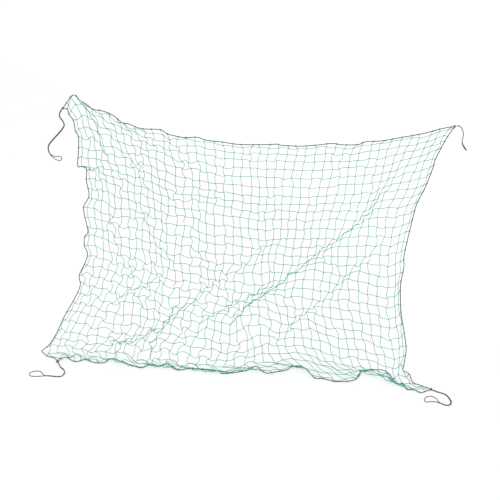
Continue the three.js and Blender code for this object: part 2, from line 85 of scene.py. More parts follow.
# Corner knots: x, y, z
LYING_KNOT_Z = FLOOR_Z + 0.0072
KNOT_TOP_LEFT = (-1.021, 0, 0.131)
KNOT_TOP_RIGHT = (0.913, 0, 0.133)
KNOT_HEM_LEFT = (-1.040, -0.180, LYING_KNOT_Z)
KNOT_HEM_RIGHT = (0.864, -0.138, LYING_KNOT_Z)

# Tails, each a doubled cord with an open eye at its end.
# Rows run down the middle of the pair: x, y, z, half the distance between the two strands.
# On the first stacked rows one strand lies on the other.
# The lying tails leave their knots a little above the floor
PAIR = 0.00215
LYING_Z = FLOOR_Z + 0.0026
LEAVING_Z = FLOOR_Z + 0.006
TAILS = [
    {
        "name": "tail_top_left",
        "flat": (0.6, 0.8, 0),
        "stacked": 0,
        "lay": "hanging",
        "length": 0.692,
        "middle": [
            (-1.0251, -0.0011, 0.1248, PAIR),
            (-1.034, -0.0033, 0.112, PAIR),
            (-1.035, -0.009, 0.091, PAIR),
            (-1.018, -0.012, 0.068, PAIR),
            (-1.012, -0.012, 0.050, PAIR),
            (-1.022, -0.012, 0.030, PAIR),
            (-1.046, -0.012, 0.002, PAIR),
            (-1.072, -0.012, -0.026, PAIR),
            (-1.096, -0.012, -0.055, PAIR),
            (-1.101, -0.012, -0.082, PAIR),
            (-1.089, -0.012, -0.107, PAIR),
            (-1.068, -0.012, -0.120, 0.007),
            (-1.054, -0.012, -0.1225, 0.0105),
            (-1.043, -0.012, -0.123, 0.011),
            (-1.0352, -0.012, -0.123, 0.0078),
        ],
        "end": (-1.032, -0.012, -0.123),
    },
    {
        "name": "tail_top_right",
        "flat": (1, 0, 0),
        "stacked": 0,
        "lay": "hanging",
        "length": 0.302,
        "middle": [
            (0.9206, 0, 0.1346, PAIR),
            (0.930, 0, 0.137, PAIR),
            (0.941, 0, 0.131, PAIR),
            (0.950, 0, 0.117, PAIR),
            (0.9545, 0, 0.098, PAIR),
            (0.953, 0, 0.078, PAIR),
            (0.950, 0, 0.062, 0.004),
            (0.9535, 0, 0.048, 0.0085),
            (0.9595, 0, 0.0375, 0.010),
            (0.9662, 0, 0.0281, 0.010),
            (0.9703, 0, 0.0224, 0.007),
        ],
        "end": (0.972, 0, 0.020),
    },
    {
        "name": "tail_hem_left",
        "flat": (0, 0, 1),
        "stacked": 6,
        "lay": "loose",
        "length": 0.783,
        "middle": [
            (-1.0361, -0.1863, LEAVING_Z, PAIR),
            (-1.020, -0.212, LYING_Z, PAIR),
            (-1.001, -0.244, LYING_Z, PAIR),
            (-0.978, -0.268, LYING_Z, PAIR),
            (-0.962, -0.295, LYING_Z, PAIR),
            (-0.957, -0.326, LYING_Z, PAIR),
            (-0.964, -0.350, LYING_Z, PAIR),
            (-0.988, -0.357, LYING_Z, PAIR),
            (-1.026, -0.356, LYING_Z, PAIR),
            (-1.046, -0.359, LYING_Z, PAIR),
            (-1.070, -0.355, LYING_Z, 0.020),
            (-1.094, -0.346, LYING_Z, 0.035),
            (-1.113, -0.340, LYING_Z, 0.031),
            (-1.125, -0.338, LYING_Z, 0.017),
        ],
        "end": (-1.130, -0.337, LYING_Z),
    },
    {
        "name": "tail_hem_right",
        "flat": (0, 0, 1),
        "stacked": 0,
        "lay": "loose",
        "length": 0.767,
        "middle": [
            (0.8708, -0.1410, LEAVING_Z, PAIR),
            (0.898, -0.154, LYING_Z, PAIR),
            (0.934, -0.174, LYING_Z, PAIR),
            (0.957, -0.214, LYING_Z, PAIR),
            (0.971, -0.262, LYING_Z, PAIR),
            (0.966, -0.296, LYING_Z, PAIR),
            (0.946, -0.302, LYING_Z, PAIR),
            (0.918, -0.280, LYING_Z, PAIR),
            (0.900, -0.264, LYING_Z, 0.011),
            (0.886, -0.255, LYING_Z, 0.024),
            (0.873, -0.250, LYING_Z, 0.035),
            (0.861, -0.247, LYING_Z, 0.037),
            (0.8505, -0.245, LYING_Z, 0.029),
            (0.8455, -0.244, LYING_Z, 0.015),
        ],
        "end": (0.844, -0.2437, LYING_Z),
    },
]

# Sides of a round cord, and the distance between its rings
CORD_SIDES = 12
CORD_STEP = 0.004


def unit(vectors):
    return vectors / np.linalg.norm(vectors, axis=-1, keepdims=True)


def cubic(start, end, leave, arrive, t):
    """Points and tangents of a smooth curve from start to end, at shares of its run."""
    bend = 3 * (end - start) - 2 * leave - arrive
    turn = 2 * (start - end) + leave + arrive
    points = start + leave * t + bend * t**2 + turn * t**3
    return points, leave + 2 * bend * t + 3 * turn * t**2


class Line:
    """Smooth line through rows of points, measured along its own length."""

    SPAN = 24

    def __init__(self, rows):
        rows = np.array(rows, float)
        rows = np.vstack([2 * rows[0] - rows[1], rows, 2 * rows[-1] - rows[-2]])
        t = np.linspace(0, 1, self.SPAN, endpoint=False)[:, None]
        pieces = []
        for before, start, end, after in zip(rows, rows[1:], rows[2:], rows[3:]):
            leave = 0.5 * (end - before)
            arrive = 0.5 * (after - start)
            points, _ = cubic(start, end, leave, arrive, t)
            pieces.append(points)
        self.dense = np.vstack(pieces + [rows[-2:-1]])
        steps = np.linalg.norm(np.diff(self.dense, axis=0), axis=1)
        self.at_length = np.concatenate([[0], np.cumsum(steps)])
        self.length = self.at_length[-1]

    def at(self, share):
        wanted = np.clip(share, 0, 1) * self.length
        return np.stack([np.interp(wanted, self.at_length, axis) for axis in self.dense.T], axis=-1)

    def spaced(self, count):
        return self.at(np.linspace(0, 1, count + 1))


def frames(points):
    """Tangents along a row of points, and a square axis at each that turns as little as possible."""
    tangents = unit(np.gradient(points, axis=0))
    start = np.eye(3)[np.argmin(np.abs(tangents[0]))]
    axes = [unit(start - tangents[0] * start.dot(tangents[0]))]
    for tangent in tangents[1:]:
        axes.append(unit(axes[-1] - tangent * axes[-1].dot(tangent)))
    return tangents, np.array(axes)


class Parts:
    """Vertices, faces and the UV of every face corner, joined into one mesh."""

    def __init__(self):
        self.points = []
        self.faces = []
        self.uvs = []
        self.count = 0

    def add(self, points, faces, uvs):
        for corners in faces:
            self.faces.extend((corners + self.count).tolist())
        self.points.append(points)
        self.uvs.extend(uvs)
        self.count += len(points)

    def tubes(self, centres, tangents, reference, radius, sides, closed=False):
        """Round tubes, one for each row of centre points, open where their ends lie inside a knot."""
        count, steps = centres.shape[:2]
        side = unit(np.cross(tangents, reference))
        up = np.cross(unit(tangents), side)
        angle = 2 * np.pi * np.arange(sides) / sides
        ring = np.cos(angle)[:, None] * side[:, :, None] + np.sin(angle)[:, None] * up[:, :, None]
        points = centres[:, :, None] + radius * ring
        index = np.arange(count * steps * sides).reshape(count, steps, sides)
        turned = np.roll(index, -1, axis=2)
        quads = np.stack([index[:, :-1], turned[:, :-1], turned[:, 1:], index[:, 1:]], axis=-1)
        caps = np.concatenate([index[:, 0, ::-1], index[:, -1]])[: 2 * count * closed]
        lengths = np.linalg.norm(np.diff(centres, axis=1), axis=2)
        along = np.concatenate([np.zeros((count, 1)), np.cumsum(lengths, axis=1)], axis=1)
        round_it = np.broadcast_to(np.arange(sides) / sides, (count, steps - 1, sides))
        near = np.broadcast_to(along[:, :-1, None], round_it.shape)
        far = np.broadcast_to(along[:, 1:, None], round_it.shape)
        quad_uvs = np.stack([
            np.stack([round_it, near], axis=-1),
            np.stack([round_it + 1 / sides, near], axis=-1),
            np.stack([round_it + 1 / sides, far], axis=-1),
            np.stack([round_it, far], axis=-1),
        ], axis=-2)
        uvs = [quad_uvs.reshape(-1, 2), np.zeros((caps.size, 2))]
        self.add(points.reshape(-1, 3), [quads.reshape(-1, 4), caps], uvs)

    def cord(self, points, radius, sides):
        """Closed round tube along one line of points."""
        tangents, axes = frames(points)
        self.tubes(points[None], tangents[None], axes[None], radius, sides, True)

    def piece(self, name, material):
        """The joined mesh as a smooth piece that rides on the root body."""
        mesh = bpy.data.meshes.new(name)
        mesh.from_pydata(np.vstack(self.points).tolist(), [], self.faces)
        layer = mesh.uv_layers.new(name="along")
        layer.data.foreach_set("uv", np.vstack(self.uvs).astype(np.float32).ravel())
        mesh.polygons.foreach_set("use_smooth", np.ones(len(mesh.polygons), bool))
        mesh.materials.append(material)
        mesh.validate()
        piece = bpy.data.objects.new(name, mesh)
        bpy.context.scene.collection.objects.link(piece)
        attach(piece, "root")
        return piece


class Look:
    """A node material, built by short calls."""

    # Places of the colour sockets on a mix node
    MIX_FIRST = 6
    MIX_SECOND = 7
    MIX_COLOUR = 2

    def __init__(self, name):
        self.material = bpy.data.materials.new(name)
        self.material.use_nodes = True
        self.tree = self.material.node_tree
        self.shader = self.tree.nodes["Principled BSDF"]

    def node(self, kind, inputs=(), **settings):
        node = self.tree.nodes.new(kind)
        for key, value in settings.items():
            setattr(node, key, value)
        for key, value in dict(inputs).items():
            self.set(node, key, value)
        return node

    def set(self, node, key, value):
        if isinstance(value, bpy.types.NodeSocket):
            self.tree.links.new(value, node.inputs[key])
        else:
            node.inputs[key].default_value = value

    def maths(self, operation, *values):
        return self.node("ShaderNodeMath", enumerate(values), operation=operation).outputs[0]

    def noise(self, scale, detail=2):
        place = self.node("ShaderNodeTexCoord").outputs["Object"]
        inputs = {"Vector": place, "Scale": scale, "Detail": detail}
        return self.node("ShaderNodeTexNoise", inputs).outputs["Fac"]

    def ramp(self, factor, *stops):
        node = self.node("ShaderNodeValToRGB", {"Fac": factor})
        for element, (place, colour) in zip(node.color_ramp.elements, stops):
            element.position = place
            element.color = (*colour, 1)
        return node.outputs["Color"]

    def mixed(self, factor, first, second, blend="MIX"):
        node = self.node("ShaderNodeMix", data_type="RGBA", blend_type=blend)
        self.set(node, "Factor", factor)
        self.set(node, self.MIX_FIRST, first)
        self.set(node, self.MIX_SECOND, second)
        return node.outputs[self.MIX_COLOUR]

    def stripes(self, strands, pitch, turn=1):
        """Waves that wind round a tube, from its UV."""
        uv = self.node("ShaderNodeUVMap", uv_map="along").outputs["UV"]
        split = self.node("ShaderNodeSeparateXYZ", {"Vector": uv}).outputs
        along = self.maths("MULTIPLY", split["Y"], turn * 2 * math.pi / pitch)
        phase = self.maths("MULTIPLY_ADD", split["X"], 2 * math.pi * strands, along)
        return self.maths("SINE", phase)

    def bump(self, height, distance, strength):
        inputs = {"Height": height, "Distance": distance, "Strength": strength}
        self.set(self.shader, "Normal", self.node("ShaderNodeBump", inputs).outputs["Normal"])


# Twine: stops of its green tones and of its wear, scales of the noise, lay of its strands and the painted
# shade in the grooves between them
TWINE_TONES = [(0.3, (0.028, 0.48, 0.37)), (0.7, (0.055, 0.59, 0.48))]
TWINE_TONE_SCALE = 9
TWINE_WEAR = [(0.3, (0.78, 0.8, 0.8)), (0.75, (1, 1, 1))]
TWINE_WEAR_SCALE = 420
TWINE_STRANDS = 3
TWINE_LAY = 0.011
TWINE_GROOVE_SHADE = 0.12
TWINE_ROUGHNESS = 0.42
TWINE_ROUGHNESS_SPREAD = 0.3
TWINE_ROUGHNESS_SCALE = 160
TWINE_GLOSS = 0.25
TWINE_SHEEN = 0.05
TWINE_BUMP = 0.0005
TWINE_BUMP_STRENGTH = 0.7

# Elastic cord: stops of its black tones, shares in them of the braid's painted shade and light and of the
# fibre, the braid's strands
CORD_TONES = [(0.25, (0.012, 0.013, 0.014)), (0.85, (0.062, 0.063, 0.066))]
CORD_TONE_BASE = 0.1
BRAID_SHADE_SHARE = 0.3
FIBRE_SHARE = 0.6
FIBRE_SCALE = 900
BRAID_STRANDS = 6
BRAID_PITCH = 0.009
CORD_ROUGHNESS = 0.62
CORD_ROUGHNESS_SPREAD = 0.25
CORD_SHEEN = 0.35
CORD_BUMP = 0.0004
CORD_BUMP_STRENGTH = 0.8

FINE_DETAIL = 4


def twine_look():
    """Laid plastic twine in a clear green, with worn and darker stretches at random, and painted shade in
    the grooves of its lay.
    """
    look = Look("green_twine")
    broad = look.ramp(look.noise(TWINE_TONE_SCALE), *TWINE_TONES)
    fine = look.ramp(look.noise(TWINE_WEAR_SCALE, FINE_DETAIL), *TWINE_WEAR)
    lay = look.stripes(TWINE_STRANDS, TWINE_LAY)
    # Painted shade: the colour is darkened in the grooves between the laid strands
    groove_shade = look.maths("MULTIPLY_ADD", lay, TWINE_GROOVE_SHADE, 1 - TWINE_GROOVE_SHADE)
    colour = look.mixed(1.0, broad, fine, "MULTIPLY")
    look.set(look.shader, "Base Color", look.mixed(1.0, colour, groove_shade, "MULTIPLY"))
    worn = look.noise(TWINE_ROUGHNESS_SCALE)
    roughness = look.maths("MULTIPLY_ADD", worn, TWINE_ROUGHNESS_SPREAD, TWINE_ROUGHNESS)
    look.set(look.shader, "Roughness", roughness)
    look.set(look.shader, "Specular IOR Level", TWINE_GLOSS)
    look.set(look.shader, "Sheen Weight", TWINE_SHEEN)
    look.bump(lay, TWINE_BUMP, TWINE_BUMP_STRENGTH)
    return look.material


def cord_look():
    """Braided black elastic cord with a dusty nap, and painted shade in the grooves of its braid with
    painted light on its ridges.
    """
    look = Look("black_elastic")
    one_way = look.stripes(BRAID_STRANDS, BRAID_PITCH)
    other_way = look.stripes(BRAID_STRANDS, BRAID_PITCH, -1)
    braid = look.maths("MAXIMUM", one_way, other_way)
    fibre = look.noise(FIBRE_SCALE, FINE_DETAIL)
    nap = look.maths("MULTIPLY_ADD", fibre, FIBRE_SHARE, CORD_TONE_BASE)
    # Painted shade and light: the tone is darker in the braid's grooves and lighter on its ridges; the
    # fibre noise adds a dusty nap at random
    tone = look.maths("MULTIPLY_ADD", braid, BRAID_SHADE_SHARE, nap)
    look.set(look.shader, "Base Color", look.ramp(tone, *CORD_TONES))
    roughness = look.maths("MULTIPLY_ADD", fibre, CORD_ROUGHNESS_SPREAD, CORD_ROUGHNESS)
    look.set(look.shader, "Roughness", roughness)
    look.set(look.shader, "Sheen Weight", CORD_SHEEN)
    look.bump(braid, CORD_BUMP, CORD_BUMP_STRENGTH)
    return look.material


twine = twine_look()
elastic = cord_look()


def tail_route(tail):
    """Down one strand, round the eye and back along the other."""
    middle = np.array([row[:3] for row in tail["middle"]])
    apart = np.array([row[3] for row in tail["middle"]])[:, None]
    points = np.vstack([middle, tail["end"]])
    before = np.vstack([points[:1], points[:-2]])
    side = unit(np.cross(tail["flat"], unit(points[1:] - before)))
    up = np.array((0, 0, 1))
    stacked = np.arange(len(middle))[:, None] < tail["stacked"]
    aside = apart * np.where(stacked, up, side)
    middle = middle + PAIR * stacked * up
    return np.vstack([middle + aside, tail["end"], (middle - aside)[::-1]])


def add_tail(tail):
    line = Line(tail_route(tail))
    points = line.spaced(round(line.length / CORD_STEP))
    parts = Parts()
    parts.cord(points, CORD / 2, CORD_SIDES)
    piece = parts.piece(tail["name"] + "_cord", elastic)
    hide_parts(tail["name"])


for tail in TAILS:
    add_tail(tail)

# Points where the two side edges come down to the floor: x, y, z
LEFT_FOOT = (-1.171, -0.058, FLOOR_Z + 0.006)
RIGHT_FOOT = (0.704, 0.052, FLOOR_Z + 0.014)

# Top edge from knot to knot: x, y, z
TOP_EDGE = [
    KNOT_TOP_LEFT,
    (-0.964, 0, 0.200),
    (-0.933, 0, 0.179),
    (-0.895, 0, 0.152),
    (-0.856, 0, 0.132),
    (-0.813, 0, 0.127),
    (-0.758, 0, 0.106),
    (-0.714, 0, 0.071),
    (-0.685, 0, 0.069),
    (-0.619, 0, 0.048),
    (-0.520, 0, 0.047),
    (-0.486, 0, 0.028),
    (-0.407, 0, 0.014),
    (-0.333, 0, 0.018),
    (-0.291, 0, 0.006),
    (-0.203, 0, 0),
    (-0.123, 0, -0.007),
    (0, 0, -0.002),
    (0.062, 0, 0.004),
    (0.088, 0, -0.001),
    (0.179, 0, 0),
    (0.257, 0, 0.009),
    (0.331, 0, 0.021),
    (0.380, 0, 0.017),
    (0.457, 0, 0.022),
    (0.492, 0, 0.037),
    (0.576, 0, 0.047),
    (0.667, 0, 0.068),
    (0.768, 0, 0.092),
    (0.856, 0, 0.120),
    KNOT_TOP_RIGHT,
]

# Left edge, hanging: x, y, z
LEFT_HANGING = [
    KNOT_TOP_LEFT,
    (-1.005, 0, 0.131),
    (-0.992, 0, 0.122),
    (-0.992, 0, 0.107),
    (-0.984, 0, 0.095),
    (-0.968, 0, 0.073),
    (-0.962, 0, 0.044),
    (-0.959, 0, 0.018),
    (-0.944, 0, -0.011),
    (-0.947, -0.002, -0.094),
    (-0.952, -0.004, -0.159),
    (-0.927, -0.004, -0.161),
    (-0.908, -0.004, -0.172),
    (-0.907, -0.005, -0.195),
    (-0.909, -0.006, -0.234),
    (-0.897, -0.009, -0.309),
    (-0.926, -0.011, -0.366),
    (-0.923, -0.013, -0.413),
    (-0.907, -0.016, -0.497),
    (-0.926, -0.017, -0.527),
    (-0.927, -0.019, -0.575),
    (-0.912, -0.020, -0.613),
    (-0.924, -0.022, -0.659),
    (-0.959, -0.025, -0.733),
    (-0.955, -0.027, -0.784),
    (-0.985, -0.030, -0.854),
    (-1.045, -0.035, -0.959),
    (-1.073, -0.038, -1.019),
    (-1.102, -0.040, -1.076),
    (-1.131, -0.042, -1.120),
    LEFT_FOOT,
]

# Left edge, on the floor: x, y, z
LEFT_LYING = [
    LEFT_FOOT,
    (-1.120, -0.111, FLOOR_Z + 0.004),
    (-1.073, -0.132, FLOOR_Z + 0.004),
    KNOT_HEM_LEFT,
]

# Right edge, hanging: x, y, z
RIGHT_HANGING = [
    KNOT_TOP_RIGHT,
    (0.876, 0, 0.072),
    (0.830, 0, -0.027),
    (0.821, 0.001, -0.064),
    (0.788, 0.003, -0.166),
    (0.750, 0.004, -0.253),
    (0.734, 0.006, -0.315),
    (0.697, 0.009, -0.512),
    (0.696, 0.010, -0.583),
    (0.683, 0.012, -0.672),
    (0.684, 0.013, -0.749),
    (0.690, 0.014, -0.826),
    (0.716, 0.019, -0.974),
    (0.719, 0.028, -1.040),
    RIGHT_FOOT,
]

# Right edge, on the floor: x, y, z
RIGHT_LYING = [
    RIGHT_FOOT,
    (0.740, 0.022, FLOOR_Z + 0.010),
    (0.768, -0.072, FLOOR_Z + 0.008),
    (0.807, -0.096, FLOOR_Z + 0.006),
    KNOT_HEM_RIGHT,
]

# Hem between its knots: x, y, height over the floor
HEM = [
    (-1.020, -0.122, 0.010),
    (-0.954, -0.154, 0.004),
    (-0.911, -0.118, 0.004),
    (-0.854, -0.146, 0.004),
    (-0.803, -0.135, 0.004),
    (-0.778, -0.090, 0.010),
    (-0.680, -0.129, 0.004),
    (-0.601, -0.161, 0.004),
    (-0.562, -0.104, 0.004),
    (-0.519, -0.121, 0.004),
    (-0.482, -0.087, 0.004),
    (-0.415, -0.151, 0.004),
    (-0.343, -0.117, 0.004),
    (-0.213, -0.119, 0.004),
    (-0.175, -0.149, 0.004),
    (-0.075, -0.090, 0.004),
    (-0.031, -0.036, 0.009),
    (0.029, -0.097, 0.004),
    (0.074, -0.076, 0.004),
    (0.127, -0.036, 0.004),
    (0.145, -0.011, 0.011),
    (0.186, 0.012, 0.011),
    (0.228, -0.014, 0.004),
    (0.281, -0.106, 0.004),
    (0.326, -0.109, 0.004),
    (0.389, -0.131, 0.004),
    (0.466, -0.108, 0.004),
    (0.492, -0.056, 0.004),
    (0.505, 0.005, 0.012),
    (0.561, 0.004, 0.024),
    (0.608, 0.014, 0.024),
    (0.639, 0.004, 0.012),
    (0.676, -0.063, 0.004),
    (0.698, -0.098, 0.004),
    (0.720, -0.090, 0.004),
    (0.749, -0.157, 0.004),
    (0.776, -0.145, 0.004),
    (0.815, -0.182, 0.004),
    (0.841, -0.158, 0.004),
]

# Line on the floor where the hanging net first touches it: x, y
FOOT = [
    (-1.068, -0.061),
    (-0.988, -0.058),
    (-0.893, -0.065),
    (-0.797, -0.059),
    (-0.685, -0.111),
    (-0.605, -0.149),
    (-0.561, -0.099),
    (-0.493, -0.077),
    (-0.408, -0.120),
    (-0.307, -0.106),
    (-0.201, -0.116),
    (-0.106, -0.076),
    (-0.038, -0.008),
    (0.061, -0.007),
    (0.128, 0.048),
    (0.186, 0.074),
    (0.286, 0.034),
    (0.393, 0.003),
    (0.471, -0.007),
    (0.525, -0.035),
    (0.576, -0.037),
    (0.629, -0.064),
    (0.673, -0.055),
]
FOOT_HEIGHT = 0.010

# Folds in the hanging net: line as x, z, pull on the net above and below it, reach of the pull,
# how far it stands forward, shares of the line over which it starts and ends, strength at its start
FOLDS = [
    {
        "line": [
            (0.710, -0.055), (0.605, -0.150), (0.505, -0.310), (0.380, -0.430), (0.275, -0.535),
            (0.160, -0.640), (0.050, -0.760), (-0.060, -0.860), (-0.160, -0.950),
        ],
        "above": 0.062, "below": 0.080, "reach": 0.400, "depth": 0.034, "ends": (0.2, 0.08), "first": 0.6,
    },
    {
        "line": [(0.095, -0.700), (-0.005, -0.750), (-0.140, -0.830), (-0.245, -0.905), (-0.320, -0.940)],
        "above": 0.034, "below": 0.036, "reach": 0.180, "depth": 0.018, "ends": (0.2, 0.2), "first": 1,
    },
    {
        "line": [
            (0.135, -0.410), (-0.005, -0.530), (-0.135, -0.650), (-0.285, -0.745),
            (-0.430, -0.885), (-0.550, -0.970), (-0.665, -1.040), (-0.806, -1.090),
        ],
        "above": 0.044, "below": 0.070, "reach": 0.340, "depth": 0.024, "ends": (0.2, 0.06), "first": 0.5,
    },
    {
        "line": [
            (0.695, -0.340), (0.630, -0.395), (0.555, -0.490), (0.465, -0.590), (0.390, -0.665),
            (0.320, -0.765), (0.240, -0.835), (0.145, -0.915), (0.055, -1.035),
        ],
        "above": 0.036, "below": 0.028, "reach": 0.220, "depth": 0.020, "ends": (0.15, 0.15), "first": 1,
    },
    {
        "line": [
            (-0.935, 0.170), (-0.895, 0.135), (-0.855, 0.095), (-0.840, 0.030),
            (-0.830, -0.025), (-0.800, -0.080), (-0.780, -0.130),
        ],
        "above": 0.018, "below": 0.018, "reach": 0.120, "depth": 0.020, "ends": (0.1, 0.2), "first": 1,
    },
    {
        "line": [(-0.830, 0.117), (-0.770, 0.020), (-0.708, -0.087), (-0.630, -0.146), (-0.545, -0.305)],
        "above": 0.014, "below": 0.014, "reach": 0.100, "depth": 0.010, "ends": (0.2, 0.3), "first": 1,
    },
    {
        "line": [(-0.755, -0.300), (-0.770, -0.365), (-0.790, -0.410), (-0.840, -0.460), (-0.905, -0.545)],
        "above": 0.024, "below": 0.020, "reach": 0.140, "depth": 0.014, "ends": (0.1, 0.2), "first": 1,
    },
    {
        "line": [(-0.480, -0.655), (-0.585, -0.740), (-0.665, -0.785), (-0.765, -0.870)],
        "above": 0.018, "below": 0.032, "reach": 0.200, "depth": 0.012, "ends": (0.2, 0.2), "first": 1,
    },
    {
        "line": [
            (0.705, -0.295), (0.640, -0.450), (0.585, -0.600),
            (0.560, -0.690), (0.515, -0.745), (0.460, -0.855),
        ],
        "above": 0.016, "below": 0.010, "reach": 0.120, "depth": 0.010, "ends": (0.2, 0.2), "first": 1,
    },
]

# Steps along a fold, its width and how that grows with its pull,
# and how far it fades past its ends, towards the net's edges and towards the floor
FOLD_STEPS = 60
FOLD_WIDTH = 0.010
FOLD_SQUEEZE = 0.60
FOLD_PAST = 0.060
FOLD_EDGE = 0.12
FOLD_FOOT = 0.03

# The sheet is laid out at every half mesh, in shares of its width and height
HALF_ACROSS = 2 * MESHES_ACROSS
HALF_DOWN = 2 * MESHES_DOWN

# Share of the height that hangs above the floor, at places across the width
HANGING = 0.93
HANGING_PLACES = [0, 0.12, 0.6, 0.88, 1]
HANGING_SHARES = [0.945, HANGING, HANGING, 0.905, 0.875]

# How the rows crowd towards the top of a side edge, and how the right edge's pull falls off across
LEFT_EASE = 1.12
RIGHT_EASE = 0.15
RIGHT_EASE_POWER = 3
RIGHT_DRAW = 1.2

# How far the waves of an edge reach into the sheet, and how much they are evened out beyond that
EDGE_REACH = 0.06
TOP_REACH = 0.12
TOP_SOFTENING = 80
LEFT_SOFTENING = 60
RIGHT_SOFTENING = 12
HEIGHT_SOFTENING = 4

# Columns come down to the left of their place on the floor, most of all left of the middle.
# In the right half they swing over to the right just above the floor
FOOT_SHIFT = 0.020
FOOT_SPAN = 0.7
FOOT_BACK = 0.025
FOOT_LEAN = 0.025
FOOT_SWING = 20

# Sag of the middle of the net
SAG = 0.030

# How the sheet lies on the floor: drawn to its side edges, its rows nearer to the hem than to the
# foot, risen where it is wide, and lapped over the hem cord between these places across
HEM_DRAW = 3
HEM_EASE = 0.5
HEM_RISE = 0.010
HEM_GAP = 0.040
HEM_END = 0.07
HEM_OVER = 0.030
HEM_OVER_PLACES = [0.07, 0.14, 0.5, 0.58]
HEM_OVER_SHARES = [0, 1, 1, 0]

top_line = Line(TOP_EDGE)
hem_line = Line([KNOT_HEM_LEFT, *[(x, y, FLOOR_Z + height) for x, y, height in HEM], KNOT_HEM_RIGHT])
foot_line = Line([LEFT_FOOT, *[(x, y, FLOOR_Z + FOOT_HEIGHT) for x, y in FOOT], RIGHT_FOOT])
left_hanging = Line(LEFT_HANGING)
left_lying = Line(LEFT_LYING)
right_hanging = Line(RIGHT_HANGING)
right_lying = Line(RIGHT_LYING)


def eased(x):
    x = np.clip(x, 0, 1)
    return x * x * (3 - 2 * x)


def half_mesh_shares():
    u = np.arange(HALF_ACROSS + 1)[:, None] / HALF_ACROSS
    v = np.arange(HALF_DOWN + 1)[None, :] / HALF_DOWN
    return u, v


def keep_above_floor(points, height):
    points[..., 2] = np.maximum(points[..., 2], FLOOR_Z + height)


def softened(points, passes):
    """Evens out a row of points between its fixed ends."""
    points = points.copy()
    for _ in range(passes):
        points[1:-1] = (points[:-2] + 2 * points[1:-1] + points[2:]) / 4
    return points


def softened_side(line, passes):
    """Points down a side edge with its waves evened out, but not its heights."""
    points = line.spaced(HALF_DOWN)
    soft = softened(points, passes)
    soft[:, 2] = softened(points, HEIGHT_SOFTENING)[:, 2]
    return soft


def along(points, share):
    """Points at shares of the way along an evenly spaced row of points."""
    at = share * (len(points) - 1)
    return np.stack([np.interp(at, np.arange(len(points)), axis) for axis in points.T], axis=-1)


def sheet(w, upper, lower, sides):
    """Sheet between two long edges, drawn in to its side edges with the weight of each side."""
    w = w[..., None]
    points = (1 - w) * upper[:, None] + w * lower[:, None]
    for weight, edge, end in sides:
        points = points + weight[..., None] * (edge - (1 - w) * upper[end] - w * lower[end])
    return points


def hung_surface():
    """Surface of the net at every half mesh, from the edge lines alone."""
    u, v = half_mesh_shares()
    across = u[:, 0]
    hanging = np.interp(u, HANGING_PLACES, HANGING_SHARES)
    w = np.clip(v / hanging, 0, 1)
    floor_w = np.clip((v - hanging) / (1 - hanging), 0, 1) ** HEM_EASE

    top = top_line.at(across)
    top_soft = softened(top, TOP_SOFTENING)
    swing = np.sin(np.pi * np.clip(2 * across - 1, 0, 1))
    low = across - FOOT_SHIFT * np.sin(np.pi * np.clip(across / FOOT_SPAN, 0, 1))
    foot_behind = foot_line.at(low - FOOT_BACK * swing)
    foot = foot_line.at(low + FOOT_LEAN * swing)
    left_w = w ** LEFT_EASE
    left = along(softened_side(left_hanging, LEFT_SOFTENING), left_w)
    right_w = w ** (1 + RIGHT_EASE * u**RIGHT_EASE_POWER)
    right = along(softened_side(right_hanging, RIGHT_SOFTENING), right_w)
    left_near = np.exp(-((u / EDGE_REACH) ** 2))[..., None]
    right_near = np.exp(-(((1 - u) / EDGE_REACH) ** 2))[..., None]
    top_near = np.exp(-((v / TOP_REACH) ** 2))[..., None]

    hung = sheet(w, top_soft, foot_behind, [(1 - u, left, 0), (u ** RIGHT_DRAW, right, -1)])
    hung += left_near * (left_hanging.at(left_w) - left)
    hung += right_near * (right_hanging.at(right_w) - right)
    hung += top_near * (top - top_soft)[:, None]
    hung += w[..., None] ** FOOT_SWING * (foot - foot_behind)[:, None]
    hung[..., 2] -= SAG * np.sin(np.pi * u) * np.sin(np.pi * w)

    hem = hem_line.at(low)
    left_floor = ((1 - u) ** HEM_DRAW, left_lying.at(floor_w), 0)
    right_floor = (u ** HEM_DRAW, right_lying.at(floor_w), -1)
    lying = sheet(floor_w, foot, hem, [left_floor, right_floor])
    gap = np.linalg.norm(foot - hem, axis=1)[:, None]
    rise = HEM_RISE * np.clip(gap / HEM_GAP, 0, 1) * np.clip(np.minimum(u, 1 - u) / HEM_END, 0, 1)
    lying[..., 2] += rise * np.sin(np.pi * floor_w)
    over = HEM_OVER * np.interp(u, HEM_OVER_PLACES, HEM_OVER_SHARES)
    lying[..., 1] -= over * np.sin(np.pi * floor_w)
    return np.where((v <= hanging)[..., None], hung, lying)


def add_fold(grid, fade, fold):
    """Gathers the sheet towards a fold and stands the fold out from it."""
    line = Line(fold["line"]).spaced(FOLD_STEPS)
    tangents = unit(np.gradient(line, axis=0))
    from_line = grid[:, :, None, ::2] - line
    nearest = np.linalg.norm(from_line, axis=-1).argmin(axis=-1)
    away = np.take_along_axis(from_line, nearest[..., None, None], axis=2)[:, :, 0]
    run = tangents[nearest]
    normal = np.stack([-run[..., 1], run[..., 0]], axis=-1)
    off = (away * normal).sum(axis=-1)
    past = np.abs((away * run).sum(axis=-1))
    share = nearest / FOLD_STEPS
    start, end = fold["ends"]
    strength = fold["first"] + (1 - fold["first"]) * share
    strength = strength * np.clip(share / start, 0, 1) * np.clip((1 - share) / end, 0, 1)
    strength = strength * np.clip(1 - past / FOLD_PAST, 0, 1) * fade
    pull = np.where(off * normal[..., 1] < 0, fold["below"], fold["above"])
    r = off / (FOLD_SQUEEZE * pull + FOLD_WIDTH)
    reach = np.clip(1 - np.abs(off) / fold["reach"], 0, 1)
    shift = -pull * strength * reach * r / np.sqrt(1 + r * r)
    stand = np.exp(-r * r) * strength
    grid[..., ::2] += shift[..., None] * normal
    grid[..., 1] -= fold["depth"] * stand
    return stand


